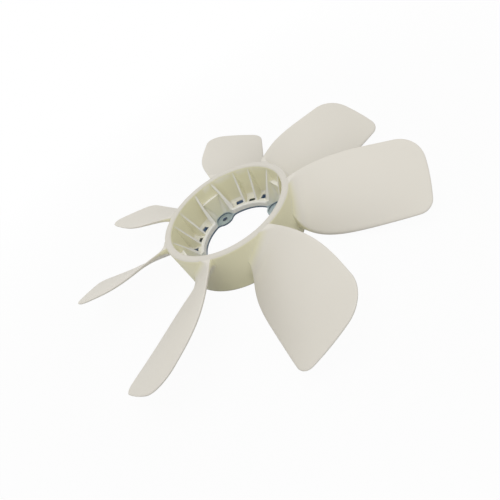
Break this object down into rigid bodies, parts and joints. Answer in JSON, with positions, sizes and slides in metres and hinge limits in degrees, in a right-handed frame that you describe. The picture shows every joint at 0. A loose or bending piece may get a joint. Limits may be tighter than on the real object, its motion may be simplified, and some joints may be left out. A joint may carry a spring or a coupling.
{
  "type": "radiator fan blade",
  "caption": "Cream plastic engine cooling fan: broad twisted blades round a deep webbed hub cup, with a pressed steel bolt ring moulded into its floor.",
  "frame": {"origin": "centre of the bolt circle, on the seating face of the bolt ring's pads", "axes": "+Z along the fan's axis, out of the cup's open mouth; +X through a bolt hole"},
  "size_m": [0.411, 0.4072, 0.0541],
  "materials": {
    "natural_plastic": "soft satin, undyed, slightly translucent",
    "plated_steel": "zinc plated"
  },
  "bodies": {
    "root": {"fan_moulding": "natural_plastic", "insert_ring": "plated_steel"}
  },
  "joints": []
}
